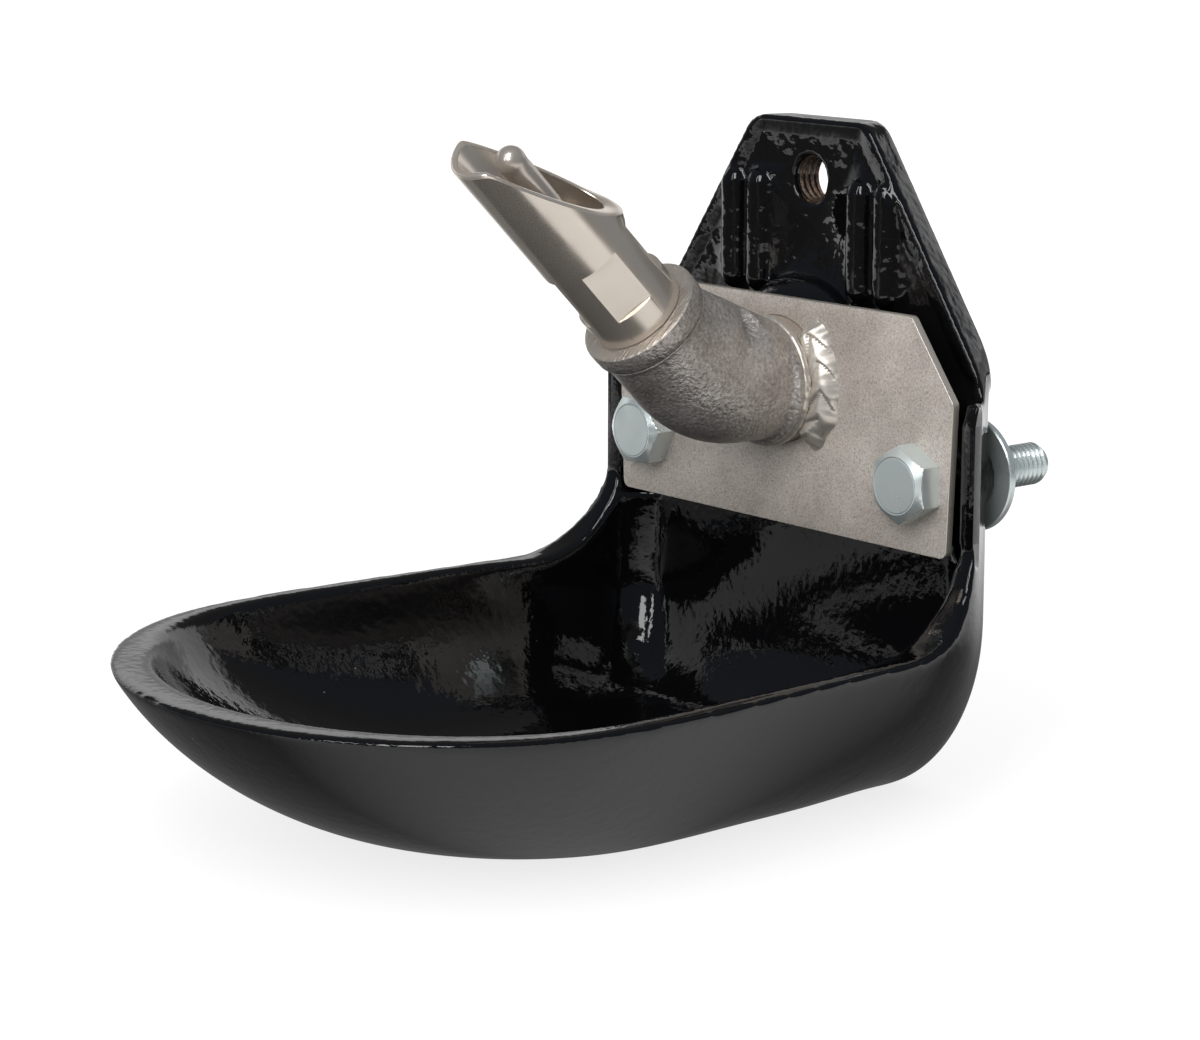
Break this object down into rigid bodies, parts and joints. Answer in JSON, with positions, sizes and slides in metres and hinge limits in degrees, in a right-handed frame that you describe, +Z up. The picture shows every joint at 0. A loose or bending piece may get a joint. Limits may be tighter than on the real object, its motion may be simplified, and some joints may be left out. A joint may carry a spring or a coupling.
{
  "type": "livestock drinking bowl",
  "caption": "Black enamelled cast-iron drinking bowl with a house-shaped back flange, a bolted stainless plate and an angled stainless bite valve with a spring-loaded pin.",
  "frame": {"origin": "On the casting's flat back, in the middle of its width, level with the two clamping bolts", "axes": "+Z up, -Y out over the bowl away from the wall, +Y into the wall, +X to the right seen from the front"},
  "size_m": [0.1526, 0.212, 0.154],
  "materials": {
    "black_enamel": "glossy black enamel with orange peel on cast iron",
    "plate_steel": "matt milled stainless sheet with bright cut edges",
    "socket_steel": "turned stainless socket",
    "weld_steel": "bright rippled stainless weld bead",
    "cast_stainless": "sandy investment-cast stainless",
    "turned_stainless": "satin turned stainless",
    "polished_stainless": "polished stainless pin",
    "spring_steel": "drawn stainless spring wire",
    "carrier_steel": "stamped stainless disc",
    "zinc": "bluish bright zinc plating on steel",
    "rubber": "black seal rubber",
    "plastic": "white moulded plastic"
  },
  "bodies": {
    "bowl": {"bowl_casting": "black_enamel", "mounting_plate": "plate_steel", "inlet_socket": "socket_steel", "elbow_bead": "weld_steel", "plate_weld_left": "weld_steel", "plate_weld_right": "weld_steel", "pipe_elbow": "cast_stainless", "valve_body": "turned_stainless", "seal_ring": "rubber", "spring_carrier": "carrier_steel", "flow_disc": "plastic", "inlet_strainer": "plastic", "bolt_left": "zinc", "washer_left": "zinc", "nut_left": "zinc", "bolt_right": "zinc", "washer_right": "zinc", "nut_right": "zinc"},
    "spring": {"closing_spring": "spring_steel"},
    "pin": {"bite_pin": "polished_stainless"}
  },
  "joints": [
    {"name": "pin_up_down", "type": "hinge", "parent": "bowl", "child": "spring", "pos_m": [0, -0.0707, 0.0479], "axis": [1, 0, 0], "range_deg": [-6, 6], "stiffness_Nm_per_rad": 0.6, "deforming": ["closing_spring", "seal_ring"]},
    {"name": "pin_side_to_side", "type": "hinge", "parent": "spring", "child": "pin", "pos_m": [0, -0.0707, 0.0479], "axis": [0, 0.7071, 0.7071], "range_deg": [-6, 6], "stiffness_Nm_per_rad": 0.6, "deforming": ["closing_spring", "seal_ring"]}
  ]
}
